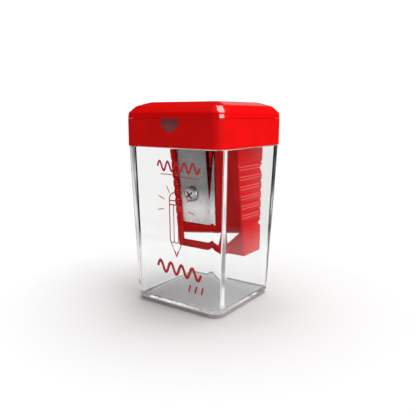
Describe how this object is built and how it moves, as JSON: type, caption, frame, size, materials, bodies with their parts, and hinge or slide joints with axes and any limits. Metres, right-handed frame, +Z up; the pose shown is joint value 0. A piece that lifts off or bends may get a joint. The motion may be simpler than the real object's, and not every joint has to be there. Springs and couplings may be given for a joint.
{
  "type": "pencil sharpener",
  "caption": "Canister pencil sharpener: clear tapered square bin with a red lift-off head, hinged lid and a hanging ribbed wedge insert with a screwed blade.",
  "frame": {"origin": "centre of the foot's underside, on the surface it stands on", "axes": "+Z up, the printed front and the thumb notch face -Y, the lid's hinge is at +Y"},
  "size_m": [0.0316, 0.0329, 0.055],
  "materials": {
    "clear_plastic": "clear moulded plastic, polished",
    "red_shell": "glossy moulded red",
    "red_insert": "glossy moulded red, ribbed sides",
    "blade_steel": "ground steel",
    "screw_chrome": "bright plated",
    "pin_steel": "drawn wire"
  },
  "bodies": {
    "bin": {"container": "clear_plastic"},
    "head": {"collar": "red_shell", "hinge_pin": "pin_steel", "sharpener_body": "red_insert", "blade": "blade_steel", "blade_screw": "screw_chrome"},
    "flip_lid": {"lid": "red_shell"}
  },
  "joints": [
    {"name": "head_lift", "type": "slide", "parent": "bin", "child": "head", "axis": [0, 0, 1], "range_m": [0, 0.038]},
    {"name": "lid_hinge", "type": "hinge", "parent": "head", "child": "flip_lid", "pos_m": [0, 0.0158, 0.05083], "axis": [-1, 0, 0], "range_deg": [0, 110]}
  ]
}
